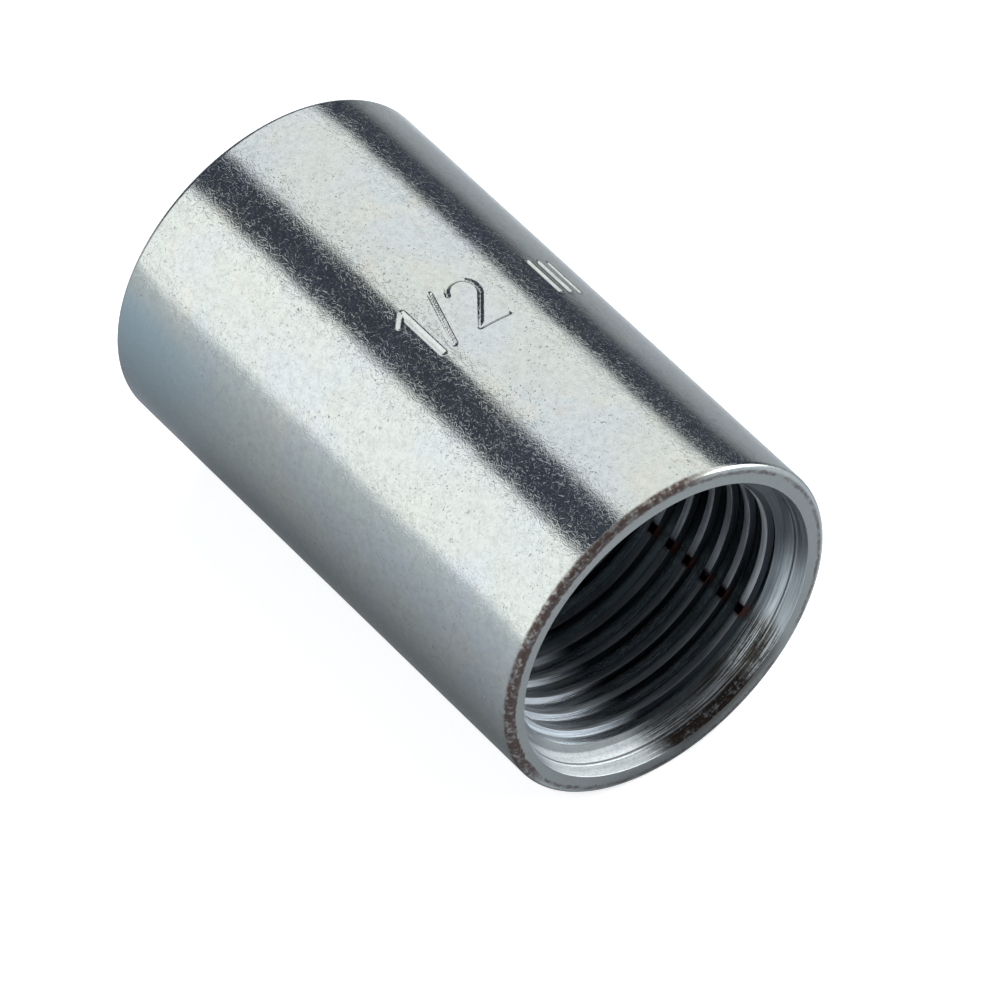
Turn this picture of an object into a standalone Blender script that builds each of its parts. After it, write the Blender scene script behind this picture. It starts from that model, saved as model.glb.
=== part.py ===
"""Threaded coupling for half-inch rigid steel conduit.

The coupling is one piece of steel tube, faced and countersunk at both ends and
tapped from end to end with one right-hand straight pipe thread. Two threaded
conduits screw into it, one from each end.

Frame: +X runs along the bore, +Z is up, and the origin is on the bore's axis
half way along the sleeve, which lies on its side. All sizes are in metres.
"""

import math

import bmesh
import bpy

MM = 0.001
INCH = 0.0254

# Sleeve.
OUTER_DIAMETER = 25.9 * MM
LENGTH = 42.5 * MM
OUTER_EDGE_RADIUS = 0.4 * MM

# Mouth: a slightly tapered recess, then a blunt countersink that ends at the thread.
MOUTH_WALL = 1.45 * MM
RECESS_TAPER = 0.33 * MM
RECESS_DEPTH = 2.1 * MM
COUNTERSINK_HALF_ANGLE = math.radians(75.0)

# Thread: straight, right-hand, with 60 degree flanks. The wall is measured over
# the thread's roots, and the flats on its roots and crests set its depth.
THREADS_PER_INCH = 14
THREAD_WALL = 2.3 * MM
THREAD_FLANK_ANGLE = math.radians(30.0)
THREAD_ROOT_FLAT = 0.69 * MM
THREAD_CREST_FLAT = 0.6 * MM
THREAD_START_ANGLE = math.radians(244.0)

# How finely the round faces are divided.
SLEEVE_SIDES = 72
THREAD_SIDES = 36
EDGE_SEGMENTS = 3

# How far the tap that cuts the thread runs past each end, and how far inside the
# thread's crests the countersink ends, where the tap clears the core away.
TAP_OVERRUN = 1.0 * MM
BLANK_CORE_ALLOWANCE = 0.2 * MM
MERGE_DISTANCE = 1e-6

AXIS = (1.0, 0.0, 0.0)
ORIGIN = (0.0, 0.0, 0.0)

PITCH = INCH / THREADS_PER_INCH
FLANK_LENGTH = (PITCH - THREAD_ROOT_FLAT - THREAD_CREST_FLAT) / 2
THREAD_DEPTH = FLANK_LENGTH / math.tan(THREAD_FLANK_ANGLE)
OUTER_RADIUS = OUTER_DIAMETER / 2
MOUTH_RADIUS = OUTER_RADIUS - MOUTH_WALL
RECESS_END_RADIUS = MOUTH_RADIUS - RECESS_TAPER
MAJOR_RADIUS = OUTER_RADIUS - THREAD_WALL
MINOR_RADIUS = MAJOR_RADIUS - THREAD_DEPTH


def clear_scene():
    """Removes whatever the file opened with."""
    for old in list(bpy.data.objects):
        bpy.data.objects.remove(old)


def zinc_plated_steel():
    """Bright electroplated zinc over steel, slightly dulled by handling."""
    material = bpy.data.materials.new("zinc_plated_steel")
    material.use_nodes = True
    shader = material.node_tree.nodes["Principled BSDF"]
    shader.inputs["Base Color"].default_value = (0.62, 0.65, 0.65, 1.0)
    shader.inputs["Metallic"].default_value = 1.0
    shader.inputs["Roughness"].default_value = 0.35
    return material


def add_polyline(mesh, points):
    """Adds a chain of edges through (along, radius) points, and returns its parts."""
    vertices = [mesh.verts.new((along, radius, 0.0)) for along, radius in points]
    edges = [mesh.edges.new(pair) for pair in zip(vertices, vertices[1:])]
    return vertices + edges


def rounded_edge(end):
    """Points of the rounded outer edge, from the end face to the outer surface."""
    points = []
    for step in range(EDGE_SEGMENTS + 1):
        turn = math.pi / 2 * step / EDGE_SEGMENTS
        along = LENGTH / 2 - OUTER_EDGE_RADIUS * (1 - math.cos(turn))
        radius = OUTER_RADIUS - OUTER_EDGE_RADIUS * (1 - math.sin(turn))
        points.append((end * along, radius))
    return points


def mouth(end):
    """Points of one mouth, from the axis out to the end face."""
    core_radius = MINOR_RADIUS - BLANK_CORE_ALLOWANCE
    sink_depth = (RECESS_END_RADIUS - core_radius) / math.tan(COUNTERSINK_HALF_ANGLE)
    recess_end = LENGTH / 2 - RECESS_DEPTH
    sink_end = recess_end - sink_depth
    return [
        (end * sink_end, 0.0),
        (end * sink_end, core_radius),
        (end * recess_end, RECESS_END_RADIUS),
        (end * LENGTH / 2, MOUTH_RADIUS),
    ]


def sleeve_blank():
    """The turned sleeve before tapping: outside, end faces, recesses and countersinks."""
    near = mouth(1) + rounded_edge(1)
    far = mouth(-1) + rounded_edge(-1)
    mesh = bmesh.new()
    profile = add_polyline(mesh, near + far[::-1])
    half_side = math.pi / SLEEVE_SIDES
    turn_about_axis(mesh, half_side)
    bmesh.ops.spin(
        mesh, geom=profile, cent=ORIGIN, axis=AXIS, angle=2 * math.pi, steps=SLEEVE_SIDES, use_merge=True
    )
    bmesh.ops.remove_doubles(mesh, verts=mesh.verts, dist=MERGE_DISTANCE)
    bmesh.ops.recalc_face_normals(mesh, faces=mesh.faces)
    return finished("conduit_coupling", mesh)


def turn_about_axis(mesh, angle):
    """Turns everything in the mesh about the bore's axis."""
    cosine, sine = math.cos(angle), math.sin(angle)
    for vertex in mesh.verts:
        across, up = vertex.co.y, vertex.co.z
        vertex.co.y = across * cosine - up * sine
        vertex.co.z = across * sine + up * cosine


def tap():
    """The shape that the tap sweeps: a core of the minor diameter with the thread's ridge."""
    turns = math.ceil((LENGTH + 2 * TAP_OVERRUN) / PITCH) + 1
    start = -turns * PITCH / 2
    ridge = [
        (start, MINOR_RADIUS),
        (start + FLANK_LENGTH, MAJOR_RADIUS),
        (start + FLANK_LENGTH + THREAD_ROOT_FLAT, MAJOR_RADIUS),
        (start + 2 * FLANK_LENGTH + THREAD_ROOT_FLAT, MINOR_RADIUS),
        (start + PITCH, MINOR_RADIUS),
    ]
    mesh = bmesh.new()
    profile = add_polyline(mesh, ridge)
    turn_about_axis(mesh, THREAD_START_ANGLE)
    bmesh.ops.spin(
        mesh,
        geom=profile,
        cent=ORIGIN,
        axis=AXIS,
        dvec=(PITCH / THREAD_SIDES, 0.0, 0.0),
        angle=2 * math.pi * turns,
        steps=THREAD_SIDES * turns,
    )
    bmesh.ops.remove_doubles(mesh, verts=mesh.verts, dist=MERGE_DISTANCE)
    close_ends(mesh, start)
    bmesh.ops.recalc_face_normals(mesh, faces=mesh.faces)
    return finished("tap", mesh)


def close_ends(mesh, start):
    """Closes the swept ridge's two open ends, each with a cone to a point on the axis."""
    rim = [edge for edge in mesh.edges if edge.is_boundary]
    for end in (-1, 1):
        edges = [edge for edge in rim if end * sum(v.co.x for v in edge.verts) > 0]
        made = bmesh.ops.extrude_edge_only(mesh, edges=edges)["geom"]
        tip = [item for item in made if isinstance(item, bmesh.types.BMVert)]
        bmesh.ops.pointmerge(mesh, verts=tip, merge_co=(end * (PITCH - start), 0.0, 0.0))


def finished(name, mesh):
    """Makes an object of the mesh and puts it in the scene."""
    data = bpy.data.meshes.new(name)
    mesh.to_mesh(data)
    mesh.free()
    made = bpy.data.objects.new(name, data)
    bpy.context.scene.collection.objects.link(made)
    return made


def cut(body, cutter):
    """Cuts the cutter from the body, and keeps the cutter as a hidden guide."""
    cutter.hide_render = True
    cutter.display_type = "WIRE"
    difference = body.modifiers.new("tapped_thread", "BOOLEAN")
    difference.operation = "DIFFERENCE"
    difference.solver = "EXACT"
    difference.object = cutter


def main():
    clear_scene()
    coupling = sleeve_blank()
    cut(coupling, tap())
    coupling.data.materials.append(zinc_plated_steel())
    coupling.data.shade_smooth()
    coupling.data.set_sharp_from_angle(angle=math.radians(20.0))


main()
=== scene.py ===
"""Looks of a threaded steel coupling for half-inch rigid conduit.

The coupling is one zinc plated steel sleeve: turned outside with rounded edges,
faced, recessed and countersunk at both ends, tapped from end to end, and stamped
with its trade size. It lies on its side, with +X along the bore.
"""

import logging
import math
from dataclasses import dataclass, field, replace
from enum import Enum

import bmesh
import bpy
from mathutils import Matrix, Vector, noise


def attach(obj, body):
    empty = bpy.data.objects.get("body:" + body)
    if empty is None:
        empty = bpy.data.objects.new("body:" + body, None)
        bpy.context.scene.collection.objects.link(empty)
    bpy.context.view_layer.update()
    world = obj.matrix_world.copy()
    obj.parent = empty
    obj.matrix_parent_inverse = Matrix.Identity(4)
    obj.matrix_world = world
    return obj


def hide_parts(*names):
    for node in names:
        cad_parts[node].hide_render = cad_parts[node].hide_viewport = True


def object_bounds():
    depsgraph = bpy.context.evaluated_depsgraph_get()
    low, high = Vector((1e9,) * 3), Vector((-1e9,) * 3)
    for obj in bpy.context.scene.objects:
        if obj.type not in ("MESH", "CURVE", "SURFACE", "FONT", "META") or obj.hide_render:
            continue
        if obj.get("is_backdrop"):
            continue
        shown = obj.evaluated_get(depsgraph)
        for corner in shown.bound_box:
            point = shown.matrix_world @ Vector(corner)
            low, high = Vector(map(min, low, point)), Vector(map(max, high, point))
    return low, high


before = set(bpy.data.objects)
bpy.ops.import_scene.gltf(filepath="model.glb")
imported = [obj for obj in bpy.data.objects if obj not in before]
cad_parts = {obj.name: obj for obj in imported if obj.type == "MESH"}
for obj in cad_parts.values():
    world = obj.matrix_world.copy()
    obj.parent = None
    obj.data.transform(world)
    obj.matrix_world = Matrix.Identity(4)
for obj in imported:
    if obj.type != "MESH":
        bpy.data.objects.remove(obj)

LOG = logging.getLogger("coupling")

MM = 0.001
INCH = 0.0254
NODE = "conduit_coupling"
AXIS = (1.0, 0.0, 0.0)
ORIGIN = (0.0, 0.0, 0.0)
MERGE_DISTANCE = 1e-6
SHARP_ANGLE = math.radians(25.0)
WHITE = (1.0, 1.0, 1.0, 1.0)

# The CAD sleeve has this many flat sides, so its box is a little narrower than a round sleeve's.
CAD_SIDES = 72

Point = tuple[float, float]
Colour = tuple[float, float, float, float]
Mesh = bmesh.types.BMesh
Socket = bpy.types.NodeSocket


class End(Enum):
    """The two ends of the sleeve, by the side of the origin they are on."""

    NEAR = 1
    FAR = -1


class Zone(Enum):
    """The sleeve's surfaces, in the order of its material slots."""

    OUTSIDE = 0
    MOUTH = 1
    THREAD = 2


def arc(centre: Point, radius: float, start: float, stop: float, steps: int) -> list[Point]:
    """Points along an arc.

    Args:
        centre: the arc's centre, as (along, radius).
        radius: the arc's own radius, in metres.
        start: the first point's angle, in degrees.
        stop: the last point's angle, in degrees.
        steps: how many straight pieces the arc is divided into.

    Returns:
        steps + 1 points, as (along, radius).
    """
    points = []
    for step in range(steps + 1):
        angle = math.radians(start + (stop - start) * step / steps)
        points.append((centre[0] + radius * math.cos(angle), centre[1] + radius * math.sin(angle)))
    return points


def chain(mesh: Mesh, points: list[Point]) -> list:
    """Adds a chain of edges to a mesh.

    Args:
        mesh: the mesh that the chain is added to.
        points: the chain's points, as (along, radius).

    Returns:
        The chain's vertices and edges.
    """
    vertices = [mesh.verts.new((along, radius, 0.0)) for along, radius in points]
    edges = [mesh.edges.new(pair) for pair in zip(vertices, vertices[1:])]
    return vertices + edges


def turn(mesh: Mesh, degrees: float) -> None:
    """Turns a whole mesh about the bore's axis."""
    turned = Matrix.Rotation(math.radians(degrees), 3, "X")
    bmesh.ops.rotate(mesh, verts=mesh.verts, cent=ORIGIN, matrix=turned)


def place(name: str, mesh: Mesh) -> bpy.types.Object:
    """Makes an object of a mesh and links it to the scene."""
    data = bpy.data.meshes.new(name)
    mesh.to_mesh(data)
    mesh.free()
    made = bpy.data.objects.new(name, data)
    bpy.context.scene.collection.objects.link(made)
    return made


@dataclass(frozen=True)
class Stroke:
    """One straight cut of a steel stamp, between two (across, up) points, 1 being a figure's height."""

    start: Point
    stop: Point

    def distance(self, across: float, up: float) -> float:
        """How far a point is from the stroke."""
        run = (self.stop[0] - self.start[0], self.stop[1] - self.start[1])
        reach = (across - self.start[0], up - self.start[1])
        length = run[0] ** 2 + run[1] ** 2
        share = 0.0
        if length > 0:
            share = min(max((reach[0] * run[0] + reach[1] * run[1]) / length, 0.0), 1.0)
        return math.hypot(reach[0] - share * run[0], reach[1] - share * run[1])


def bow(centre: Point, radius: float, start: float, stop: float, steps: int = 12) -> list[Stroke]:
    """A curved cut of a steel stamp, as short strokes along an arc."""
    points = arc(centre, radius, start, stop, steps)
    return [Stroke(*pair) for pair in zip(points, points[1:])]


def figure_one(left: float) -> list[Stroke]:
    """The figure 1, with its flag, from its left side on."""
    return [Stroke((left + 0.17, 1.0), (left + 0.17, 0.0)), Stroke((left, 0.84), (left + 0.17, 1.0))]


def fraction_bar(left: float) -> list[Stroke]:
    """The slanted bar of a fraction, from its left side on."""
    return [Stroke((left, 0.0), (left + 0.3, 1.0))]


def figure_two(left: float) -> list[Stroke]:
    """The figure 2, from its left side on."""
    crown = bow((left + 0.25, 0.74), 0.25, 165.0, -35.0)
    return crown + [Stroke(crown[-1].stop, (left, 0.0)), Stroke((left, 0.0), (left + 0.52, 0.0))]


def size_mark() -> tuple[Stroke, ...]:
    """The trade size, 1/2."""
    return tuple(figure_one(0.0) + fraction_bar(0.38) + figure_two(0.86))


def tally_mark() -> tuple[Stroke, ...]:
    """Three short bars side by side."""
    return tuple(Stroke((0.3 * count, 0.0), (0.3 * count, 1.0)) for count in range(3))


@dataclass(frozen=True)
class Stamp:
    """Marks struck into the outside of the sleeve.

    The marks read round the sleeve, with their tops towards the far end. The base is their lower edge's
    place along the bore, and they reach from the left angle on, by the reach times their height.
    """

    strokes: tuple[Stroke, ...]
    height: float
    base_along: float
    left_angle: float
    reach: float
    half_width: float = 0.2 * MM
    depth: float = 0.13 * MM
    wall_power: float = 0.8
    lip: float = 0.018 * MM
    lip_width: float = 0.35 * MM
    lip_steepness: float = 4.0

    def sink(self, along: float, angle: float, radius: float) -> float:
        """How far the stamp sinks a point of the outside.

        Args:
            along: the point's place along the bore.
            angle: the point's angle round the bore, in degrees, from +Y towards +Z.
            radius: the sleeve's outer radius.

        Returns:
            The depth in metres, negative on the lip that the stamp throws up.
        """
        up = (self.base_along - along) / self.height
        across = math.radians(self.left_angle - angle) * radius / self.height
        margin = (self.half_width + self.lip_width) / self.height
        if not (-margin < up < 1 + margin and -margin < across < self.reach + margin):
            return 0.0
        distance = min(stroke.distance(across, up) for stroke in self.strokes) * self.height
        if distance < self.half_width:
            return self.depth * (1 - distance / self.half_width) ** self.wall_power
        beyond = (distance - self.half_width) / self.lip_width
        return -self.lip * max(0.0, 1 - beyond) * min(1.0, beyond * self.lip_steepness)


@dataclass(frozen=True)
class Thread:
    """A straight right-hand thread with 60 degree flanks, and the tap that cuts it.

    The seam is where the tube's weld breaks the thread's crests, at an angle from +Y towards +Z.
    """

    pitch: float = INCH / 14
    major_radius: float = 10.65 * MM
    root_flat: float = 0.78 * MM
    crest_flat: float = 0.51 * MM
    flank_angle: float = 30.0
    corner: float = 0.06 * MM
    start_angle: float = 133.0
    sides: int = 180
    extra_turns: int = 3
    seam_angle: float = -35.0
    seam_depth: float = 0.38 * MM
    seam_raggedness: float = 0.5
    seam_grain: float = 1.1 * MM

    @property
    def flank(self) -> float:
        """One flank's length along the bore."""
        return (self.pitch - self.root_flat - self.crest_flat) / 2

    @property
    def minor_radius(self) -> float:
        """The radius over the thread's crests."""
        return self.major_radius - self.flank / math.tan(math.radians(self.flank_angle))

    def ridge(self) -> list[Point]:
        """One pitch of the tap's outline, from the middle of one crest flat to the next."""
        crest = self.crest_flat / 2
        rise = self.major_radius - self.minor_radius
        rounding = self.corner / 4
        points = [(0.0, self.minor_radius), (crest - self.corner, self.minor_radius)]
        points.append((crest + rounding, self.minor_radius + rounding))
        for climb in (self.corner / rise, 1 - self.corner / rise):
            points.append((crest + self.flank * climb, self.minor_radius + rise * climb))
        points.append((self.pitch / 2, self.major_radius))
        return points + [(self.pitch - along, radius) for along, radius in points[-2::-1]]

    def tap(self, length: float) -> bpy.types.Object:
        """Builds the solid that the tap sweeps.

        Args:
            length: the length of the bore that it has to run through.

        Returns:
            A closed helical solid, longer than the bore at both ends.
        """
        mesh = bmesh.new()
        profile = chain(mesh, self.ridge())
        bmesh.ops.spin(
            mesh, geom=profile, cent=ORIGIN, axis=AXIS, dvec=(self.pitch / self.sides, 0.0, 0.0),
            angle=2 * math.pi, steps=self.sides,
        )
        turns = math.ceil(length / self.pitch) + self.extra_turns
        start = -turns * self.pitch / 2
        bmesh.ops.translate(mesh, verts=mesh.verts, vec=(start, 0.0, 0.0))
        one_turn = mesh.verts[:] + mesh.edges[:] + mesh.faces[:]
        for count in range(1, turns):
            copied = bmesh.ops.duplicate(mesh, geom=one_turn)["geom"]
            moved = [item for item in copied if isinstance(item, bmesh.types.BMVert)]
            bmesh.ops.translate(mesh, verts=moved, vec=(count * self.pitch, 0.0, 0.0))
        bmesh.ops.remove_doubles(mesh, verts=mesh.verts, dist=MERGE_DISTANCE)
        turn(mesh, self.start_angle)
        self.notch(mesh)
        self.close(mesh, start)
        bmesh.ops.recalc_face_normals(mesh, faces=mesh.faces)
        return place("tap", mesh)

    def notch(self, mesh: Mesh) -> None:
        """Raises the tap where the tube's welded seam broke out of the thread's crests."""
        half_step = 180.0 / self.sides
        for vertex in mesh.verts:
            radius = math.hypot(vertex.co.y, vertex.co.z)
            angle = math.degrees(math.atan2(vertex.co.z, vertex.co.y))
            if radius < self.minor_radius + self.corner and abs(angle - self.seam_angle) < half_step:
                ragged = 1.0 + self.seam_raggedness * noise.noise(vertex.co / self.seam_grain)
                vertex.co.yz = vertex.co.yz * (1 + self.seam_depth * ragged / radius)

    def close(self, mesh: Mesh, start: float) -> None:
        """Closes both ends of the swept ridge with cones to points on the axis."""
        rim = [edge for edge in mesh.edges if edge.is_boundary]
        for end in End:
            edges = [edge for edge in rim if end.value * sum(v.co.x for v in edge.verts) > 0]
            made = bmesh.ops.extrude_edge_only(mesh, edges=edges)["geom"]
            tip = [item for item in made if isinstance(item, bmesh.types.BMVert)]
            bmesh.ops.pointmerge(mesh, verts=tip, merge_co=(end.value * (self.pitch - start), 0.0, 0.0))


@dataclass(frozen=True)
class Sector:
    """A sector of the sleeve, and how many columns of faces it is divided into."""

    stop_angle: float
    columns: int


@dataclass
class Sleeve:
    """The coupling itself: a turned, tapped and stamped steel sleeve.

    The sectors follow one another from the first angle, in degrees from +Y towards +Z, with narrow
    columns of faces where the stamps are. The stamped rows run from one place along the bore to
    another, and the plain rows lie beyond them at both ends.
    """

    outer_radius: float
    length: float
    outer_edge: float = 0.42 * MM
    outer_edge_steps: int = 8
    mouth_wall: float = 1.43 * MM
    recess_taper: float = 0.35 * MM
    recess_depth: float = 2.1 * MM
    inner_edge: float = 0.06 * MM
    inner_edge_steps: int = 3
    countersink_angle: float = 75.0
    ring_depths: tuple[float, ...] = (0.92 * MM, 1.12 * MM)
    ring_half_width: float = 0.045 * MM
    ring_cut: float = 0.022 * MM
    core_allowance: float = 0.2 * MM
    thread: Thread = field(default_factory=Thread)
    stamps: tuple[Stamp, ...] = ()
    first_angle: float = -90.0
    sectors: tuple[Sector, ...] = (
        Sector(36.0, 84),
        Sector(66.0, 100),
        Sector(79.0, 13),
        Sector(111.0, 107),
        Sector(270.0, 106),
    )
    stamped_rows: tuple[float, float, int] = (2.8 * MM, -2.4 * MM, 74)
    plain_rows: int = 6

    @property
    def mouth_radius(self) -> float:
        """The recess's radius at the end face."""
        return self.outer_radius - self.mouth_wall

    @property
    def recess_radius(self) -> float:
        """The recess's radius at its inner end."""
        return self.mouth_radius - self.recess_taper

    def ring_points(self, end: End) -> list[Point]:
        """Points of the recess's wall with the rings that the cutter left, from the inside out."""
        half = self.length / 2
        slope = self.recess_taper / self.recess_depth
        points = []
        for depth in sorted(self.ring_depths, reverse=True):
            for offset, cut in ((1, 0.0), (0, self.ring_cut), (-1, 0.0)):
                at = depth + offset * self.ring_half_width
                points.append((end.value * (half - at), self.mouth_radius - slope * at + cut))
        return points

    def end_outline(self, end: End) -> list[Point]:
        """The outline of one end, from the axis out to the outside."""
        half = self.length / 2
        side = end.value
        core = self.thread.minor_radius - self.core_allowance
        sink = (self.recess_radius - core) / math.tan(math.radians(self.countersink_angle))
        recess_end = half - self.recess_depth
        outline = [(side * (recess_end - sink), 0.0), (side * (recess_end - sink), core)]
        outline.append((side * recess_end, self.recess_radius))
        outline += self.ring_points(end)
        inner_centre = (half - self.inner_edge, self.mouth_radius + self.inner_edge)
        inner = arc(inner_centre, self.inner_edge, -90.0, 0.0, self.inner_edge_steps)
        outer_centre = (half - self.outer_edge, self.outer_radius - self.outer_edge)
        outer = arc(outer_centre, self.outer_edge, 0.0, 90.0, self.outer_edge_steps)
        return outline + [(side * along, radius) for along, radius in inner + outer]

    def side_outline(self) -> list[Point]:
        """The rows of the outside between the rounded edges, from the near end to the far one."""
        near = self.length / 2 - self.outer_edge
        first, last, rows = self.stamped_rows
        alongs = [near + (first - near) * step / self.plain_rows for step in range(1, self.plain_rows)]
        alongs += [first + (last - first) * step / rows for step in range(rows + 1)]
        alongs += [last + (-near - last) * step / self.plain_rows for step in range(1, self.plain_rows)]
        return [(along, self.outer_radius) for along in alongs]

    def blank(self) -> Mesh:
        """Turns the sleeve before tapping: outside, end faces, recesses and countersinks."""
        mesh = bmesh.new()
        outline = self.end_outline(End.NEAR) + self.side_outline() + self.end_outline(End.FAR)[::-1]
        geometry = chain(mesh, outline)
        turn(mesh, self.first_angle)
        start = self.first_angle
        for sector in self.sectors:
            spun = bmesh.ops.spin(
                mesh, geom=geometry, cent=ORIGIN, axis=AXIS,
                angle=math.radians(sector.stop_angle - start), steps=sector.columns,
            )
            geometry = spun["geom_last"]
            start = sector.stop_angle
        bmesh.ops.remove_doubles(mesh, verts=mesh.verts, dist=MERGE_DISTANCE)
        bmesh.ops.recalc_face_normals(mesh, faces=mesh.faces)
        return mesh

    def strike(self, mesh: Mesh) -> None:
        """Sinks the stamps into the outside."""
        surface = self.outer_radius - self.outer_edge / 100
        for vertex in mesh.verts:
            radius = math.hypot(vertex.co.y, vertex.co.z)
            if radius < surface:
                continue
            angle = math.degrees(math.atan2(vertex.co.z, vertex.co.y))
            depth = sum(stamp.sink(vertex.co.x, angle, self.outer_radius) for stamp in self.stamps)
            vertex.co.yz = vertex.co.yz * (1 - depth / radius)

    def zone(self, spot: Vector) -> Zone:
        """Tells which of the sleeve's surfaces a point lies on."""
        radius = math.hypot(spot.y, spot.z)
        inset = self.length / 2 - abs(spot.x)
        tolerance = self.inner_edge / 4
        if radius > self.mouth_radius + self.inner_edge * 0.9 or inset < tolerance:
            return Zone.OUTSIDE
        lead = math.tan(math.radians(self.countersink_angle)) * (inset - self.recess_depth)
        on_cone = abs(self.recess_radius - lead - radius) < tolerance
        return Zone.MOUTH if on_cone or inset < self.recess_depth else Zone.THREAD

    def build(self) -> bpy.types.Object:
        """Builds the whole sleeve.

        Returns:
            The finished piece, in its place, without materials.
        """
        mesh = self.blank()
        self.strike(mesh)
        piece = place("sleeve", mesh)
        tap = self.thread.tap(self.length)
        cut = piece.modifiers.new("tapped_thread", "BOOLEAN")
        cut.operation = "DIFFERENCE"
        cut.solver = "MANIFOLD"
        cut.object = tap
        graph = bpy.context.evaluated_depsgraph_get()
        data = bpy.data.meshes.new_from_object(piece.evaluated_get(graph))
        data.name = "sleeve"
        piece.modifiers.clear()
        piece.data = data
        bpy.data.objects.remove(tap)
        data.shade_smooth()
        data.set_sharp_from_angle(angle=SHARP_ANGLE)
        return piece


@dataclass(frozen=True)
class Stretch:
    """The values from low to high, in millimetres, or round the bore in degrees from +Y towards +Z."""

    low: float
    high: float

    def moved(self, by: float) -> "Stretch":
        """The same stretch, moved up by a number."""
        return replace(self, low=self.low + by, high=self.high + by)


@dataclass(frozen=True)
class Ramp(Stretch):
    """A smooth change from start, at low and below, to stop, at high and above."""

    start: float = 0.0
    stop: float = 1.0


@dataclass(frozen=True)
class Band(Stretch):
    """A stretch that fades over a soft margin outside it."""

    soft: float


@dataclass(frozen=True)
class Noise:
    """Cloudy noise with features of a size in millimetres, finer layers over them, and perhaps a ramp."""

    size: float
    layers: float
    rough: float
    seed: float
    ramp: Ramp | None = None


@dataclass(frozen=True)
class Marks:
    """Marks that a cutting tool leaves round the bore, in millimetres.

    They lean with the radius, so that they also run round faces that are square to the bore.
    """

    width: float
    length: float
    seed: float
    layers: float = 3.0
    rough: float = 0.65
    bore_radius: float = 10.0
    lean: float = 0.7


@dataclass(frozen=True)
class Hairlines:
    """One layer of handling scratches, in millimetres: cell is the distance between them."""

    cell: float
    length: float
    width: float
    share: float
    bend: float
    seed: float
    shift: Point = (17.3, 5.1)
    taper_start: float = 0.25


@dataclass(frozen=True)
class Coat:
    """A colour laid over another, and how much it covers where it is fully laid."""

    colour: Colour
    cover: float = 1.0


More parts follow.
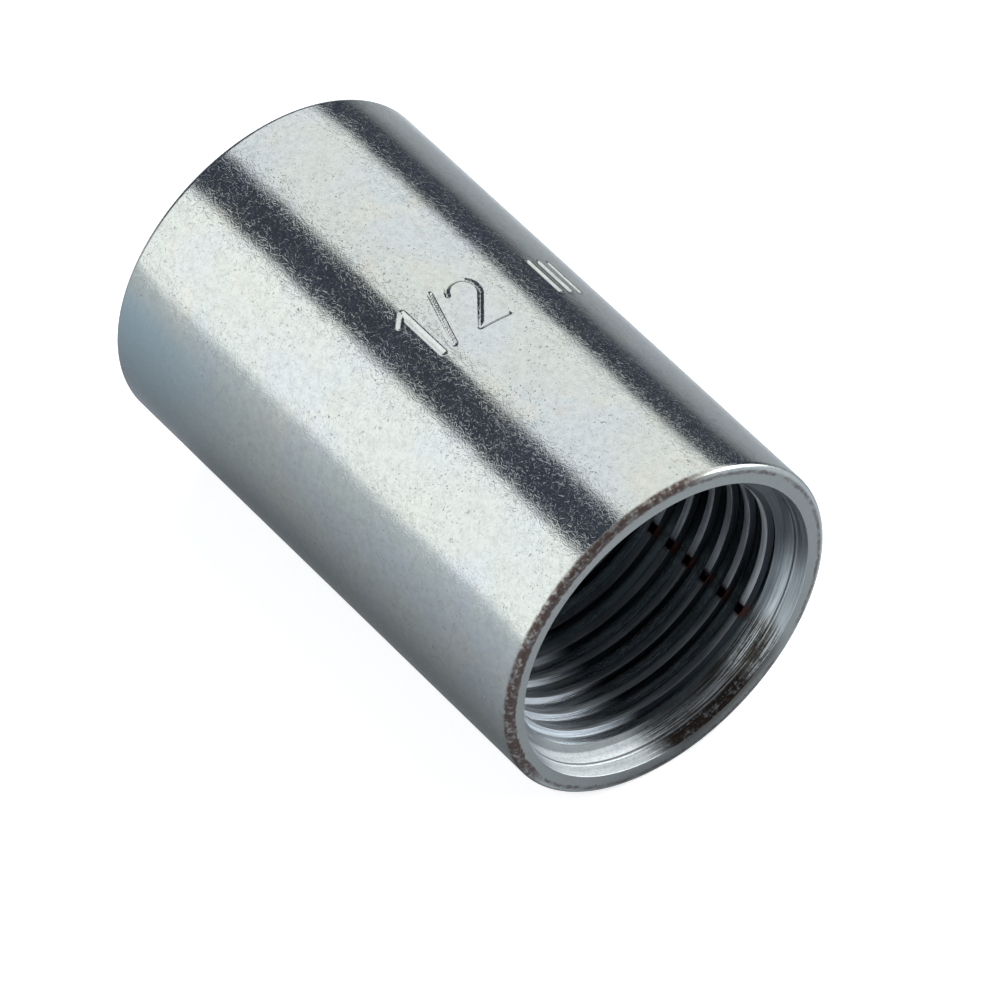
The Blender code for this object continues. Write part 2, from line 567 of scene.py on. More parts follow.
class Graph:
    """A material's node tree, with short calls for the nodes that the finishes are made of."""

    def __init__(self, name: str) -> None:
        """Makes the material, with its Principled shader and its place in millimetres."""
        self.material = bpy.data.materials.new(name)
        self.material.use_nodes = True
        self.tree = self.material.node_tree
        self.shader = self.tree.nodes["Principled BSDF"]
        spot = self.node("ShaderNodeTexCoord").outputs["Object"]
        self.spot = self.vector("SCALE", spot, scale=1 / MM)
        self.along, self.y, self.z = self.split(self.spot)
        turned = self.math("ARCTAN2", self.y, self.z)
        self.angle = self.math("MULTIPLY", turned, 180 / math.pi)
        self.radius = self.math("SQRT", self.total(self.square(self.y), self.square(self.z)))

    def node(self, kind: str, **settings: object) -> bpy.types.Node:
        """Adds a node and gives it its settings."""
        made = self.tree.nodes.new(kind)
        for name, value in settings.items():
            setattr(made, name, value)
        return made

    def feed(self, socket: Socket, value: object) -> None:
        """Sets a socket to a number or a colour, or links it to another socket."""
        if isinstance(value, Socket):
            self.tree.links.new(value, socket)
        else:
            socket.default_value = value

    def math(self, operation: str, *values: object) -> Socket:
        """Adds a Math node over numbers or sockets."""
        made = self.node("ShaderNodeMath", operation=operation)
        for socket, value in zip(made.inputs, values):
            self.feed(socket, value)
        return made.outputs[0]

    def scaled(self, value: object, factor: float) -> Socket:
        """A number times a fixed factor."""
        return self.math("MULTIPLY", value, factor)

    def square(self, value: object) -> Socket:
        """A number times itself."""
        return self.math("MULTIPLY", value, value)

    def total(self, *values: object) -> Socket:
        """The sum of several numbers."""
        result = values[0]
        for value in values[1:]:
            result = self.math("ADD", result, value)
        return result

    def weighed(self, values: tuple, weights: tuple[float, ...]) -> Socket:
        """The sum of several numbers, each times its weight."""
        return self.total(*[self.scaled(value, weight) for value, weight in zip(values, weights)])

    def product(self, *values: object) -> Socket:
        """The product of several numbers."""
        result = values[0]
        for value in values[1:]:
            result = self.math("MULTIPLY", result, value)
        return result

    def vector(self, operation: str, *values: object, scale: float = 1.0) -> Socket:
        """Adds a Vector Math node over vectors or sockets."""
        made = self.node("ShaderNodeVectorMath", operation=operation)
        for socket, value in zip(made.inputs, values):
            self.feed(socket, value)
        if operation == "SCALE":
            made.inputs["Scale"].default_value = scale
        return made.outputs[0]

    def split(self, vector: Socket) -> tuple[Socket, ...]:
        """A vector's three numbers."""
        made = self.node("ShaderNodeSeparateXYZ")
        self.feed(made.inputs[0], vector)
        return tuple(made.outputs)

    def join(self, x: object, y: object, z: object) -> Socket:
        """A vector of three numbers."""
        made = self.node("ShaderNodeCombineXYZ")
        for socket, value in zip(made.inputs, (x, y, z)):
            self.feed(socket, value)
        return made.outputs[0]

    def grade(self, value: object, ramp: Ramp) -> Socket:
        """Sends a number through a ramp."""
        made = self.node("ShaderNodeMapRange", interpolation_type="SMOOTHSTEP")
        for socket, given in zip(made.inputs, (value, ramp.low, ramp.high, ramp.start, ramp.stop)):
            self.feed(socket, given)
        return made.outputs[0]

    def within(self, value: object, band: Band) -> Socket:
        """1 where a number is in a band, and 0 well outside it."""
        rising = self.grade(value, Ramp(band.low - band.soft, band.low))
        falling = self.grade(value, Ramp(band.high, band.high + band.soft, 1.0, 0.0))
        return self.math("MULTIPLY", rising, falling)

    def on_side(self, side: Band) -> Socket:
        """Marks one side of the sleeve.

        Args:
            side: the band round the bore, in degrees.

        Returns:
            1 on that side, and 0 well away from it.
        """
        middle = math.radians((side.low + side.high) / 2)
        upward = self.scaled(self.z, math.sin(middle))
        sideways = self.math("MULTIPLY_ADD", self.y, math.cos(middle), upward)
        facing = self.math("DIVIDE", sideways, self.radius)
        half = (side.high - side.low) / 2
        outer = math.cos(math.radians(half + side.soft))
        return self.grade(facing, Ramp(outer, math.cos(math.radians(half))))

    def cloud(self, noise: Noise, vector: Socket | None = None) -> Socket:
        """Cloudy noise.

        Args:
            noise: the noise's sizes and its ramp.
            vector: where it is read, in millimetres, if not at the surface itself.

        Returns:
            A number from 0 to 1, or what the ramp makes of it.
        """
        made = self.node("ShaderNodeTexNoise", noise_dimensions="4D")
        self.feed(made.inputs["Vector"], self.spot if vector is None else vector)
        made.inputs["W"].default_value = noise.seed
        made.inputs["Scale"].default_value = 1 / noise.size
        made.inputs["Detail"].default_value = noise.layers
        made.inputs["Roughness"].default_value = noise.rough
        return self.grade(made.outputs["Fac"], noise.ramp) if noise.ramp else made.outputs["Fac"]

    def turned_marks(self, marks: Marks) -> Socket:
        """Noise drawn out round the bore, as a cutting tool leaves it.

        Args:
            marks: the marks' sizes.

        Returns:
            A number from 0 to 1.
        """
        reach = marks.bore_radius * marks.width / marks.length
        unit_y = self.scaled(self.math("DIVIDE", self.y, self.radius), reach)
        unit_z = self.scaled(self.math("DIVIDE", self.z, self.radius), reach)
        steep = self.math("MULTIPLY_ADD", self.radius, marks.lean, self.along)
        noise = Noise(marks.width, marks.layers, marks.rough, marks.seed)
        return self.cloud(noise, self.join(steep, unit_y, unit_z))

    def hairlines(self, flat: Socket, layer: Hairlines) -> Socket:
        """Short scratches in every direction, one to a cell.

        Args:
            flat: the surface unrolled, in millimetres.
            layer: the scratches' sizes.

        Returns:
            A height from 0 to 1, 1 along the middle of each scratch.
        """
        moved = self.vector("ADD", flat, (layer.shift[0] * layer.seed, layer.shift[1] * layer.seed, 0.0))
        cells = self.node("ShaderNodeTexVoronoi", voronoi_dimensions="2D", feature="F1")
        self.feed(cells.inputs["Vector"], moved)
        cells.inputs["Scale"].default_value = 1 / layer.cell
        chance = self.node("ShaderNodeSeparateColor")
        self.feed(chance.inputs[0], cells.outputs["Color"])
        local = self.vector("SUBTRACT", moved, cells.outputs["Position"])
        turned = self.node("ShaderNodeVectorRotate", rotation_type="Z_AXIS")
        self.feed(turned.inputs["Vector"], local)
        self.feed(turned.inputs["Angle"], self.scaled(chance.outputs[0], 2 * math.pi))
        ahead, aside, _ = self.split(turned.outputs[0])
        bend = self.math("MULTIPLY_ADD", chance.outputs[1], 2 * layer.bend, -layer.bend)
        curved = self.math("MULTIPLY_ADD", self.square(ahead), bend, aside)
        across = self.grade(self.math("ABSOLUTE", curved), Ramp(0.0, layer.width, 1.0, 0.0))
        ends = Ramp(layer.length * layer.taper_start, layer.length / 2, 1.0, 0.0)
        within = self.grade(self.math("ABSOLUTE", ahead), ends)
        strength = self.grade(chance.outputs[2], Ramp(0.0, layer.share, 1.0, 0.0))
        return self.product(across, within, strength)

    def blend(self, share: object, first: object, second: object, how: str = "MIX") -> Socket:
        """Mixes two colours."""
        made = self.node("ShaderNodeMix", data_type="RGBA", blend_type=how)
        for socket, value in zip((made.inputs[0], made.inputs[6], made.inputs[7]), (share, first, second)):
            self.feed(socket, value)
        return made.outputs[2]

    def coat(self, under: object, where: Socket, coat: Coat) -> Socket:
        """Lays a coat over a colour, fully where a number is 1."""
        share = self.scaled(where, coat.cover) if coat.cover < 1.0 else where
        return self.blend(share, under, coat.colour)

    def shaded(self, colour: object, shade: Socket) -> Socket:
        """A colour made darker or lighter by a factor."""
        return self.blend(1.0, colour, self.join(shade, shade, shade), "MULTIPLY")

    def finish(self, colour: Socket, roughness: Socket, height: Socket) -> bpy.types.Material:
        """Makes the shader a metal.

        Args:
            colour: the metal's colour.
            roughness: its roughness.
            height: its small relief, in millimetres.

        Returns:
            The finished material.
        """
        bump = self.node("ShaderNodeBump")
        bump.inputs["Distance"].default_value = MM
        self.feed(bump.inputs["Height"], height)
        self.feed(self.shader.inputs["Normal"], bump.outputs[0])
        self.feed(self.shader.inputs["Base Color"], colour)
        self.feed(self.shader.inputs["Roughness"], roughness)
        self.shader.inputs["Metallic"].default_value = 1.0
        return self.material


@dataclass(frozen=True)
class RimStain:
    """The ragged brown line between the near end face and its rounded edge, in millimetres."""

    colour: Colour = (0.075, 0.054, 0.048, 1.0)
    roughness: float = 0.4
    crust: float = 0.01
    ragged: Noise = Noise(0.5, 3.0, 0.6, 11.0)
    swing: float = 0.5
    depths: Ramp = Ramp(-0.5, -0.25)
    broad: Band = Band(12.28, 12.92, 0.14)
    broad_side: Band = Band(86.0, 206.0, 14.0)
    inner_side: Band = Band(124.0, 206.0, 14.0)
    outer_shift: Ramp = Ramp(0.0, 1.0, -0.2, 0.0)
    thin: Band = Band(12.36, 12.48, 0.12)
    thin_patches: Noise = Noise(1.2, 2.0, 0.5, 12.0, Ramp(0.34, 0.56))
    thin_strength: float = 0.7
    patches: Noise = Noise(0.35, 3.0, 0.6, 13.0, Ramp(0.3, 0.55, 0.45, 1.0))

    def where(self, graph: Graph, half_length: float) -> Socket:
        """Marks the stained spots.

        Args:
            graph: the node tree.
            half_length: half the sleeve's length, in millimetres.

        Returns:
            A number that is 1 where the stain is thickest.
        """
        ragged = graph.math("MULTIPLY_ADD", graph.cloud(self.ragged), self.swing, -self.swing / 2)
        wavering = graph.math("ADD", graph.radius, ragged)
        at_end = graph.grade(graph.along, self.depths.moved(half_length))
        outward = graph.grade(graph.on_side(self.inner_side), self.outer_shift)
        moved = graph.math("ADD", wavering, outward)
        broad = graph.product(graph.within(moved, self.broad), graph.on_side(self.broad_side))
        thin = graph.product(graph.within(wavering, self.thin), graph.cloud(self.thin_patches))
        both = graph.math("MAXIMUM", broad, graph.scaled(thin, self.thin_strength))
        return graph.product(at_end, both, graph.cloud(self.patches))


@dataclass(frozen=True)
class PlatedOutside:
    """Bright zinc over the outside and the end faces: clouded, pitted, scratched, and stained at the rim.

    Radii, depths and heights are in millimetres.
    """

    half_length: float
    radius: float
    name: str = "zinc_outside"
    pale: Colour = (0.375, 0.4, 0.375, 1.0)
    cool: Coat = Coat((0.36, 0.39, 0.405, 1.0), 0.7)
    cool_patches: Noise = Noise(6.0, 3.0, 0.55, 1.0, Ramp(0.42, 0.66))
    warm: Coat = Coat((0.405, 0.405, 0.365, 1.0))
    warm_patches: Noise = Noise(4.0, 3.0, 0.6, 2.0, Ramp(0.5, 0.7, 0.0, 0.7))
    mottle: Noise = Noise(0.5, 4.0, 0.7, 8.0, Ramp(0.3, 0.62, 0.87, 1.02))
    dull: Coat = Coat((0.17, 0.18, 0.17, 1.0))
    specks: Noise = Noise(0.2, 2.0, 0.6, 3.0, Ramp(0.61, 0.7))
    speck_crowds: Noise = Noise(2.5, 2.0, 0.5, 4.0, Ramp(0.42, 0.62, 0.25, 1.0))
    speck_roughness: float = 0.2
    speck_depth: float = 0.006
    scratches: tuple[Hairlines, ...] = (
        Hairlines(0.3, 0.4, 0.035, 1.0, 0.5, 1.0),
        Hairlines(0.34, 0.46, 0.04, 1.0, 0.4, 2.0),
        Hairlines(0.27, 0.34, 0.035, 1.0, 0.8, 3.0),
        Hairlines(0.4, 0.55, 0.045, 0.9, 0.3, 4.0),
        Hairlines(0.55, 0.8, 0.04, 0.8, 0.2, 5.0),
    )
    scratched: Coat = Coat((0.17, 0.18, 0.17, 1.0), 0.1)
    scratch_roughness: float = 0.16
    scratch_depth: float = 0.0023
    # painted reflection: a teal tint on the -Y side towards the far end
    painted_teal_reflection: Coat = Coat((0.28, 0.37, 0.41, 1.0), 0.8)
    teal_reflection_stretch: Ramp = Ramp(-20.0, -6.0, 1.0, 0.0)
    teal_reflection_side: Band = Band(166.0, 215.0, 14.0)
    faced: Coat = Coat((0.222, 0.236, 0.232, 1.0), 0.9)
    face_depths: Ramp = Ramp(-0.12, -0.02)
    face_edge: Ramp = Ramp(12.5, 12.7, 1.0, 0.0)
    grime: Coat = Coat((0.06, 0.056, 0.05, 1.0), 0.8)
    grime_side: Band = Band(-80.0, -44.0, 12.0)
    grime_edge: Ramp = Ramp(11.6, 12.5, 1.0, 0.3)
    grime_depths: Ramp = Ramp(-0.3, -0.1)
    stain: RimStain = RimStain()
    roughness: Noise = Noise(1.6, 4.0, 0.6, 5.0, Ramp(0.35, 0.7, 0.085, 0.135))
    grain: Noise = Noise(0.12, 3.0, 0.6, 6.0)
    grain_height: float = 0.0052
    waves: Noise = Noise(2.2, 2.0, 0.5, 7.0)
    wave_height: float = 0.02

    def plating(self, graph: Graph, specks: Socket, scratched: Socket) -> Socket:
        """The colour of the zinc itself, with a painted teal reflection on its -Y side towards the far end.

        Args:
            graph: the node tree.
            specks: 1 on the small dull pits.
            scratched: 1 along the scratches.

        Returns:
            The colour, before dirt and stains.
        """
        colour = graph.coat(self.pale, graph.cloud(self.cool_patches), self.cool)
        colour = graph.coat(colour, graph.cloud(self.warm_patches), self.warm)
        colour = graph.shaded(colour, graph.cloud(self.mottle))
        colour = graph.coat(colour, specks, self.dull)
        colour = graph.coat(colour, scratched, self.scratched)
        # painted reflection: teal tint on the -Y side towards the far end
        painted_teal_reflection = graph.product(graph.grade(graph.along, self.teal_reflection_stretch), graph.on_side(self.teal_reflection_side))
        return graph.coat(colour, painted_teal_reflection, self.painted_teal_reflection)

    def end_faces(self, graph: Graph, colour: Socket) -> Socket:
        """Dulls both end faces, and dirties the lower side of the near one.

        Args:
            graph: the node tree.
            colour: the colour of the zinc.

        Returns:
            The colour with the end faces in it.
        """
        flat = graph.grade(graph.math("ABSOLUTE", graph.along), self.face_depths.moved(self.half_length))
        faced = graph.product(flat, graph.grade(graph.radius, self.face_edge))
        colour = graph.coat(colour, faced, self.faced)
        low = graph.product(graph.on_side(self.grime_side), graph.grade(graph.radius, self.grime_edge))
        at_face = graph.grade(graph.along, self.grime_depths.moved(self.half_length))
        return graph.coat(colour, graph.product(low, at_face), self.grime)

    def make(self) -> bpy.types.Material:
        """Builds the material."""
        graph = Graph(self.name)
        flat = graph.join(graph.scaled(graph.angle, math.radians(self.radius)), graph.along, 0.0)
        scratched = graph.total(*[graph.hairlines(flat, layer) for layer in self.scratches])
        specks = graph.math("MULTIPLY", graph.cloud(self.specks), graph.cloud(self.speck_crowds))
        stained = self.stain.where(graph, self.half_length)
        colour = self.end_faces(graph, self.plating(graph, specks, scratched))
        colour = graph.blend(stained, colour, self.stain.colour)
        rough = graph.math("MULTIPLY_ADD", scratched, self.scratch_roughness, graph.cloud(self.roughness))
        dulled = graph.scaled(specks, self.speck_roughness)
        rough = graph.total(rough, dulled, graph.scaled(stained, self.stain.roughness))
        height = graph.weighed(
            (graph.cloud(self.grain), graph.cloud(self.waves), scratched, specks, stained),
            (self.grain_height, self.wave_height, -self.scratch_depth, -self.speck_depth, self.stain.crust),
        )
        return graph.finish(colour, rough, height)


@dataclass(frozen=True)
class CutMouth:
    """Plated steel of the recess and the countersink, with the cutter's marks, a painted highlight on its
    lit side, painted shade on its shady side and countersink, and dirt on its lower side.

    The half length, the depths and the heights are in millimetres.
    """

    half_length: float
    recess_depth: float
    ring_depth: float
    name: str = "zinc_mouth"
    dark: Colour = (0.3, 0.335, 0.355, 1.0)
    pale: Colour = (0.62, 0.68, 0.71, 1.0)
    # bright: the colour of the painted highlight on the lit side
    bright: Colour = (0.86, 0.9, 0.89, 1.0)
    fine: Marks = Marks(0.09, 3.0, 21.0)
    coarse: Marks = Marks(0.3, 7.0, 22.0)
    mark_weights: tuple[float, float] = (0.6, 0.4)
    mark_ramp: Ramp = Ramp(0.34, 0.6)
    lit_side: Band = Band(-128.0, -104.0, 24.0)
    lit_speckle: Noise = Noise(0.16, 3.0, 0.7, 26.0)
    lit_weights: tuple[float, float] = (0.6, 0.5)
    lit_ramp: Ramp = Ramp(0.42, 0.62)
    shady: Coat = Coat((0.14, 0.155, 0.165, 1.0), 0.8)
    shady_side: Band = Band(6.0, 42.0, 22.0)
    ochre: Coat = Coat((0.2, 0.19, 0.11, 1.0), 0.85)
    ochre_side: Band = Band(-58.0, -38.0, 8.0)
    ochre_ramp: Ramp = Ramp(0.42, 0.58)
    grime: Coat = Coat((0.024, 0.023, 0.024, 1.0), 0.9)
    grime_side: Band = Band(-82.0, -60.0, 13.0)
    grime_ramp: Ramp = Ramp(0.2, 0.6, 1.0, 0.55)
    # darkens the countersink's shoulder beyond the recess, for oil and painted shade
    shoulder_shade: Ramp = Ramp(-0.03, 0.02, 1.0, 0.42)
    dirt: Coat = Coat((0.024, 0.019, 0.016, 1.0))
    low_side: Band = Band(-86.0, -42.0, 14.0)
    clumps: Noise = Noise(0.3, 4.0, 0.7, 23.0)
    streaks: Marks = Marks(0.08, 3.0, 24.0)
    streak_clumps: float = 0.35
    streak_ramp: Ramp = Ramp(0.56, 0.74)
    streak_strength: float = 0.85
    crust_side: Band = Band(-84.0, -56.0, 10.0)
    crust_depths: Ramp = Ramp(-0.3, 0.0, 1.0, 0.0)
    crust_ramp: Ramp = Ramp(0.36, 0.5)
    ring_line: Coat = Coat((0.024, 0.019, 0.016, 1.0), 0.75)
    ring_band: Band = Band(-0.04, 0.04, 0.05)
    roughness: Ramp = Ramp(0.3, 0.7, 0.44, 0.6)
    lit_roughness: float = 0.1
    dirt_roughness: float = 0.1
    ridge_height: float = 0.008
    chatter: Noise = Noise(0.2, 3.0, 0.6, 25.0)
    chatter_height: float = 0.012
    lump_height: float = 0.06

    def metal(self, graph: Graph, mixed: Socket, lit_side: Socket) -> Socket:
        """The colour of the metal, with a painted highlight on the lit side and painted shade on the shady
        side.

        Args:
            graph: the node tree.
            mixed: the cutter's marks, from 0 to 1.
            lit_side: 1 on the side where the painted highlight brightens the metal.

        Returns:
            The colour, before dirt.
        """
        colour = graph.blend(graph.grade(mixed, self.mark_ramp), self.dark, self.pale)
        grains = graph.weighed((mixed, graph.cloud(self.lit_speckle)), self.lit_weights)
        lit = graph.blend(graph.grade(grains, self.lit_ramp), self.pale, self.bright)
        # painted highlight: the lit side is mixed towards the bright colour
        colour = graph.blend(lit_side, colour, lit)
        return graph.coat(colour, graph.on_side(self.shady_side), self.shady)

    def make(self) -> bpy.types.Material:
        """Builds the material."""
        graph = Graph(self.name)
        fine, coarse = graph.turned_marks(self.fine), graph.turned_marks(self.coarse)
        clumps, streaks = graph.cloud(self.clumps), graph.turned_marks(self.streaks)
        mixed = graph.weighed((fine, coarse), self.mark_weights)
        lit_side, low_side = graph.on_side(self.lit_side), graph.on_side(self.low_side)
        inset = graph.math("SUBTRACT", self.half_length, graph.math("ABSOLUTE", graph.along))

        colour = self.metal(graph, mixed, lit_side)
        ochre = graph.product(graph.on_side(self.ochre_side), graph.grade(streaks, self.ochre_ramp))
        colour = graph.coat(colour, ochre, self.ochre)
        grime = graph.product(graph.on_side(self.grime_side), graph.grade(clumps, self.grime_ramp))
        colour = graph.coat(colour, grime, self.grime)
        # painted shade and oil: the countersink's shoulder faces into the bore like the thread's flanks and
        # is darkened
        colour = graph.shaded(colour, graph.grade(inset, self.shoulder_shade.moved(self.recess_depth)))

        clotted = graph.math("MULTIPLY_ADD", clumps, self.streak_clumps, streaks)
        black = graph.product(low_side, graph.grade(clotted, self.streak_ramp))
        outer = graph.grade(inset, self.crust_depths.moved(self.ring_depth))
        caked = graph.grade(graph.weighed((clumps, streaks), self.mark_weights), self.crust_ramp)
        crust = graph.product(graph.on_side(self.crust_side), outer, caked)
        dirty = graph.math("MAXIMUM", graph.scaled(black, self.streak_strength), crust)
        colour = graph.coat(colour, dirty, self.dirt)
        in_ring = graph.within(inset, self.ring_band.moved(self.ring_depth))
        colour = graph.coat(colour, in_ring, self.ring_line)

        rougher = (graph.scaled(dirty, self.dirt_roughness), graph.scaled(lit_side, self.lit_roughness))
        rough = graph.total(graph.grade(coarse, self.roughness), *rougher)
        ridges = graph.scaled(fine, self.ridge_height)
        chatter = graph.scaled(graph.cloud(self.chatter), self.chatter_height)
        lumps = graph.product(clumps, low_side, self.lump_height)
        return graph.finish(colour, rough, graph.total(ridges, chatter, lumps))


@dataclass(frozen=True)
class TappedThread:
    """Plated thread: dark with oil and painted shade, bright on its worn crests, with a painted highlight on
    its lit side, and rusty where the seam breaks them.

    The root, the crest and the rust on the root are measured from the crest radius, in millimetres.
    """

    crest_radius: float
    seam_angle: float
    name: str = "zinc_thread"
    # flank and root colours: darkened for oil and for painted shade
    shaded: Colour = (0.022, 0.026, 0.03, 1.0)
    oiled_and_shaded: Colour = (0.1, 0.125, 0.135, 1.0)
    # root colour towards the bottom, lighter than elsewhere
    lower_root: Colour = (0.32, 0.37, 0.39, 1.0)
    # painted highlight: the colour of roots, flanks and crests on the lit side
    lit_side_highlight: Colour = (0.6, 0.65, 0.68, 1.0)
    bare: Colour = (0.66, 0.69, 0.72, 1.0)
    # worn: crest colour towards the bottom, darker than elsewhere
    worn: Colour = (0.2, 0.215, 0.225, 1.0)
    fine: Marks = Marks(0.1, 4.0, 31.0)
    coarse: Marks = Marks(0.35, 9.0, 32.0)
    mark_weights: tuple[float, float] = (0.6, 0.4)
    mark_shade: Ramp = Ramp(0.36, 0.64, 0.6, 1.15)
    lit_side: Band = Band(-185.0, -110.0, 22.0)
    low_side: Band = Band(-100.0, -40.0, 16.0)
    root: Ramp = Ramp(0.38, 0.44)
    crest: Ramp = Ramp(0.01, 0.035, 0.95, 0.0)
    crest_roughness: float = 0.24
    rust: Coat = Coat((0.035, 0.012, 0.008, 1.0), 0.9)
    rust_scale: Noise = Noise(0.3, 3.0, 0.6, 33.0, Ramp(0.35, 0.5))
    rust_band: Band = Band(-1.2, 1.2, 2.5)
    rust_on_root: Ramp = Ramp(0.3, 0.4, 1.0, 0.45)
    roughness: Ramp = Ramp(0.3, 0.7, 0.21, 0.38)
    ridge_height: float = 0.01
    grain: Noise = Noise(0.18, 3.0, 0.6, 34.0)
    grain_height: float = 0.008

    def make(self) -> bpy.types.Material:
        """Builds the material."""
        graph = Graph(self.name)
        fine, coarse = graph.turned_marks(self.fine), graph.turned_marks(self.coarse)
        lit_side, low_side = graph.on_side(self.lit_side), graph.on_side(self.low_side)
        in_root = graph.blend(low_side, self.oiled_and_shaded, self.lower_root)
        root = graph.grade(graph.radius, self.root.moved(self.crest_radius))
        colour = graph.blend(root, self.shaded, in_root)
        # painted highlight on the lit side
        colour = graph.blend(lit_side, colour, self.lit_side_highlight)
        on_crest = graph.blend(lit_side, graph.blend(low_side, self.bare, self.worn), self.lit_side_highlight)
        worn = graph.grade(graph.radius, self.crest.moved(self.crest_radius))
        colour = graph.blend(worn, colour, on_crest)
        mixed = graph.weighed((fine, coarse), self.mark_weights)
        colour = graph.shaded(colour, graph.grade(mixed, self.mark_shade))
        seam = graph.on_side(self.rust_band.moved(self.seam_angle))
        faded = graph.grade(graph.radius, self.rust_on_root.moved(self.crest_radius))
        rusted = graph.product(seam, graph.cloud(self.rust_scale), faded)
        colour = graph.coat(colour, rusted, self.rust)
        rough = graph.math("MULTIPLY_ADD", worn, self.crest_roughness, graph.grade(coarse, self.roughness))
        height = graph.weighed((fine, graph.cloud(self.grain)), (self.ridge_height, self.grain_height))
        return graph.finish(colour, rough, height)


@dataclass(frozen=True)
class SoftBox:
    """A soft light facing the coupling, with its angle and spread round the bore and its tilt in degrees."""

    name: str
    angle: float
    spread: float
    distance: float
    length: float
    radiance: float
    tilt: float = 0.0

    def hang(self) -> None:
        """Hangs the light so that it faces the coupling."""
        width = 2 * self.distance * math.tan(math.radians(self.spread / 2))
        lamp = bpy.data.lights.new(self.name, "AREA")
        lamp.shape = "RECTANGLE"
        lamp.size = self.length
        lamp.size_y = width
        lamp.energy = self.radiance * math.pi * self.length * width
        angle, tilt = math.radians(self.angle), math.radians(self.tilt)
        across = Vector((0.0, -math.sin(angle), math.cos(angle)))
        away = Vector((math.sin(tilt), math.cos(tilt) * math.cos(angle), math.cos(tilt) * math.sin(angle)))
        hung = bpy.data.objects.new(self.name, lamp)
        turned = Matrix((across.cross(away), across, away)).transposed().to_4x4()
        hung.matrix_world = Matrix.Translation(away * self.distance) @ turned
        bpy.context.scene.collection.objects.link(hung)


@dataclass(frozen=True)
class Camera:
    """The camera, aimed past the coupling's middle, with its angles in degrees."""

    azimuth: float = 52.59
    elevation: float = 46.22
    distance: float = 578.0 * MM
    lens: float = 318.9
    aim_right: float = 2.2 * MM
    aim_down: float = 3.8 * MM
    sight: float = 20.0

    def stand(self) -> None:
        """Puts the camera in its place and makes it the scene's."""
        turned, raised = math.radians(self.azimuth), math.radians(self.elevation)
        level = math.cos(raised)
        back = Vector((math.sin(turned) * level, -math.cos(turned) * level, math.sin(raised)))
        facing = (-back).to_track_quat("-Z", "Y")
        aim = facing @ Vector((self.aim_right, -self.aim_down, 0.0))
        data = bpy.data.cameras.new("camera")
        data.lens = self.lens
        data.clip_end = self.sight
        stood = bpy.data.objects.new("camera", data)
        stood.location = aim + back * self.distance
        stood.rotation_mode = "QUATERNION"
        stood.rotation_quaternion = facing
        bpy.context.scene.collection.objects.link(stood)
        bpy.context.scene.camera = stood


@dataclass(frozen=True)
class FloorFinish:
    """White paper for the eye, with a painted shadow beside the coupling that only reflections show.

    The shades are the painted shadow's lightness in reflections, by the distance from the bore's axis in
    millimetres, towards +Y, under a painted cool tint. In front of the near end it stays white.
    """

    name: str = "floor"
    paper: Colour = (0.8, 0.8, 0.8, 1.0)
    tint: Colour = (0.75, 0.79, 0.83, 1.0)
    roughness: float = 0.9
    glow: float = 0.52
    in_front: Ramp = Ramp(20.5, 23.5)
    shades: tuple[Point, ...] = (
        (-150.0, 1.0), (-97.0, 1.0), (-50.0, 0.87), (-31.0, 0.76), (-20.0, 0.6), (-14.0, 0.45), (14.0, 0.45),
        (25.0, 0.95), (29.0, 0.95), (33.0, 0.66), (47.0, 0.6), (118.0, 0.55), (234.0, 0.35),
    )

    def make(self) -> bpy.types.Material:
        """Builds the material."""
        graph = Graph(self.name)
        first, last = self.shades[0][0], self.shades[-1][0]
        ramp = graph.node("ShaderNodeValToRGB")
        share = graph.math("DIVIDE", graph.math("SUBTRACT", graph.y, first), last - first)
        graph.feed(ramp.inputs[0], share)
        steps = ramp.color_ramp.elements
        for place_on, shade in self.shades[1:-1]:
            steps.new((place_on - first) / (last - first)).color = (shade, shade, shade, 1.0)
        for step, (_, shade) in ((steps[0], self.shades[0]), (steps[-1], self.shades[-1])):
            step.color = (shade, shade, shade, 1.0)
        # painted shadow: reflections of the floor are darker and tinted beside the coupling
        shade = graph.blend(graph.grade(graph.along, self.in_front), ramp.outputs[0], WHITE)
        reflected_painted_shadow = graph.blend(1.0, self.tint, shade, "MULTIPLY")
        path = graph.node("ShaderNodeLightPath")
        seen = graph.blend(path.outputs["Is Glossy Ray"], self.paper, reflected_painted_shadow)
        graph.feed(graph.shader.inputs["Base Color"], seen)
        graph.shader.inputs["Roughness"].default_value = self.roughness
        graph.shader.inputs["Specular IOR Level"].default_value = 0.0
        graph.shader.inputs["Emission Color"].default_value = WHITE
        glow = graph.scaled(path.outputs["Is Camera Ray"], self.glow)
        graph.feed(graph.shader.inputs["Emission Strength"], glow)
        return graph.material


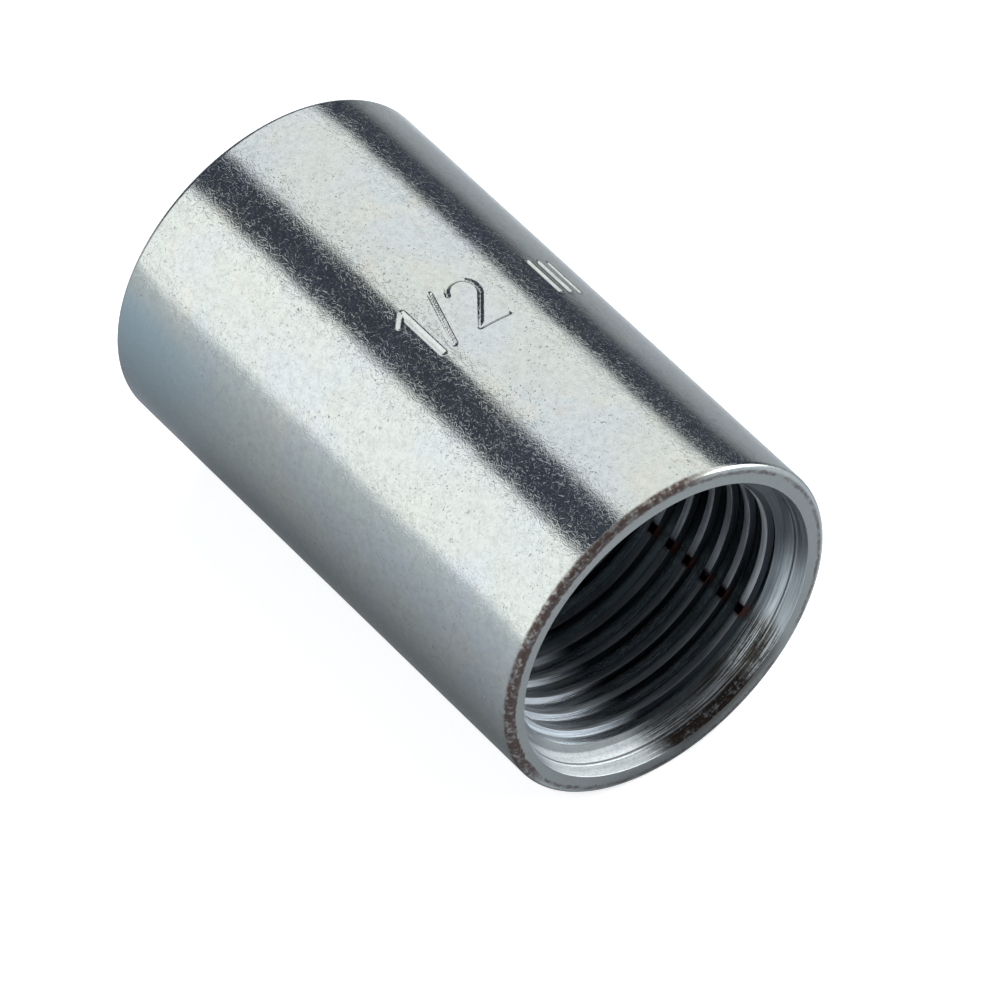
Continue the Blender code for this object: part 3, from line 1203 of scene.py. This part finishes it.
@dataclass
class Studio:
    """The pale floor, the lights and the camera."""

    floor_height: float
    floor_size: float = 8.0
    gloom: Colour = (0.085, 0.1, 0.14, 1.0)
    backdrop: Colour = (0.95, 0.95, 0.95, 1.0)
    boxes: tuple[SoftBox, ...] = (
        SoftBox("high_softbox", angle=59.0, spread=66.0, distance=1.2, length=3.0, radiance=1.72),
        SoftBox("side_softbox", angle=152.0, spread=60.0, distance=1.2, length=3.0, radiance=2.05),
        SoftBox("edge_strip", angle=14.0, spread=30.0, distance=1.2, length=0.8, radiance=5.0, tilt=27.0),
    )
    camera: Camera = field(default_factory=Camera)

    def lay_floor(self) -> None:
        """Lays the floor that the coupling lies on."""
        mesh = bmesh.new()
        bmesh.ops.create_grid(mesh, x_segments=4, y_segments=4, size=self.floor_size / 2)
        bmesh.ops.translate(mesh, verts=mesh.verts, vec=(0.0, 0.0, self.floor_height))
        floor = place("floor", mesh)
        floor.data.materials.append(FloorFinish().make())
        floor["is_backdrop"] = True

    def dim_room(self) -> None:
        """Makes the room round the lights dark, and pale where the camera sees it."""
        world = bpy.data.worlds.new("room")
        world.use_nodes = True
        tree = world.node_tree
        dark = tree.nodes["Background"]
        dark.inputs["Color"].default_value = self.gloom
        pale = tree.nodes.new("ShaderNodeBackground")
        pale.inputs["Color"].default_value = self.backdrop
        path = tree.nodes.new("ShaderNodeLightPath")
        mixed = tree.nodes.new("ShaderNodeMixShader")
        tree.links.new(path.outputs["Is Camera Ray"], mixed.inputs[0])
        tree.links.new(dark.outputs[0], mixed.inputs[1])
        tree.links.new(pale.outputs[0], mixed.inputs[2])
        tree.links.new(mixed.outputs[0], tree.nodes["World Output"].inputs["Surface"])
        bpy.context.scene.world = world

    def build(self) -> None:
        """Sets up the whole studio."""
        self.lay_floor()
        self.dim_room()
        for box in self.boxes:
            box.hang()
        self.camera.stand()
        bpy.context.scene.view_settings.view_transform = "Standard"


def dress(piece: bpy.types.Object, sleeve: Sleeve) -> None:
    """Gives the sleeve its three finishes, one for each zone."""
    thread = sleeve.thread
    finishes = {
        Zone.OUTSIDE: PlatedOutside(sleeve.length / 2 / MM, sleeve.outer_radius / MM),
        Zone.MOUTH: CutMouth(sleeve.length / 2 / MM, sleeve.recess_depth / MM, max(sleeve.ring_depths) / MM),
        Zone.THREAD: TappedThread(thread.minor_radius / MM, thread.seam_angle),
    }
    piece.data.materials.clear()
    for zone in Zone:
        piece.data.materials.append(finishes[zone].make())
    for face in piece.data.polygons:
        face.material_index = sleeve.zone(face.center).value


def main() -> None:
    """Builds the coupling and its studio, in order."""
    logging.basicConfig(level=logging.INFO, format="%(name)s: %(message)s")
    cad_low, cad_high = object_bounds()
    stamps = (
        Stamp(size_mark(), height=4.4 * MM, base_along=2.4 * MM, left_angle=109.6, reach=1.42),
        Stamp(tally_mark(), height=3.3 * MM, base_along=1.5 * MM, left_angle=60.0, reach=0.6),
    )
    outer_radius = (cad_high.z - cad_low.z) / 2 / math.cos(math.pi / CAD_SIDES)
    sleeve = Sleeve(outer_radius=outer_radius, length=cad_high.x - cad_low.x, stamps=stamps)
    piece = sleeve.build()
    dress(piece, sleeve)
    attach(piece, "root")
    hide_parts(NODE)
    triangles = sum(len(face.vertices) - 2 for face in piece.data.polygons)
    LOG.info("%s: %d triangles", piece.name, triangles)
    Studio(floor_height=cad_low.z).build()


if __name__ == "__main__":
    main()
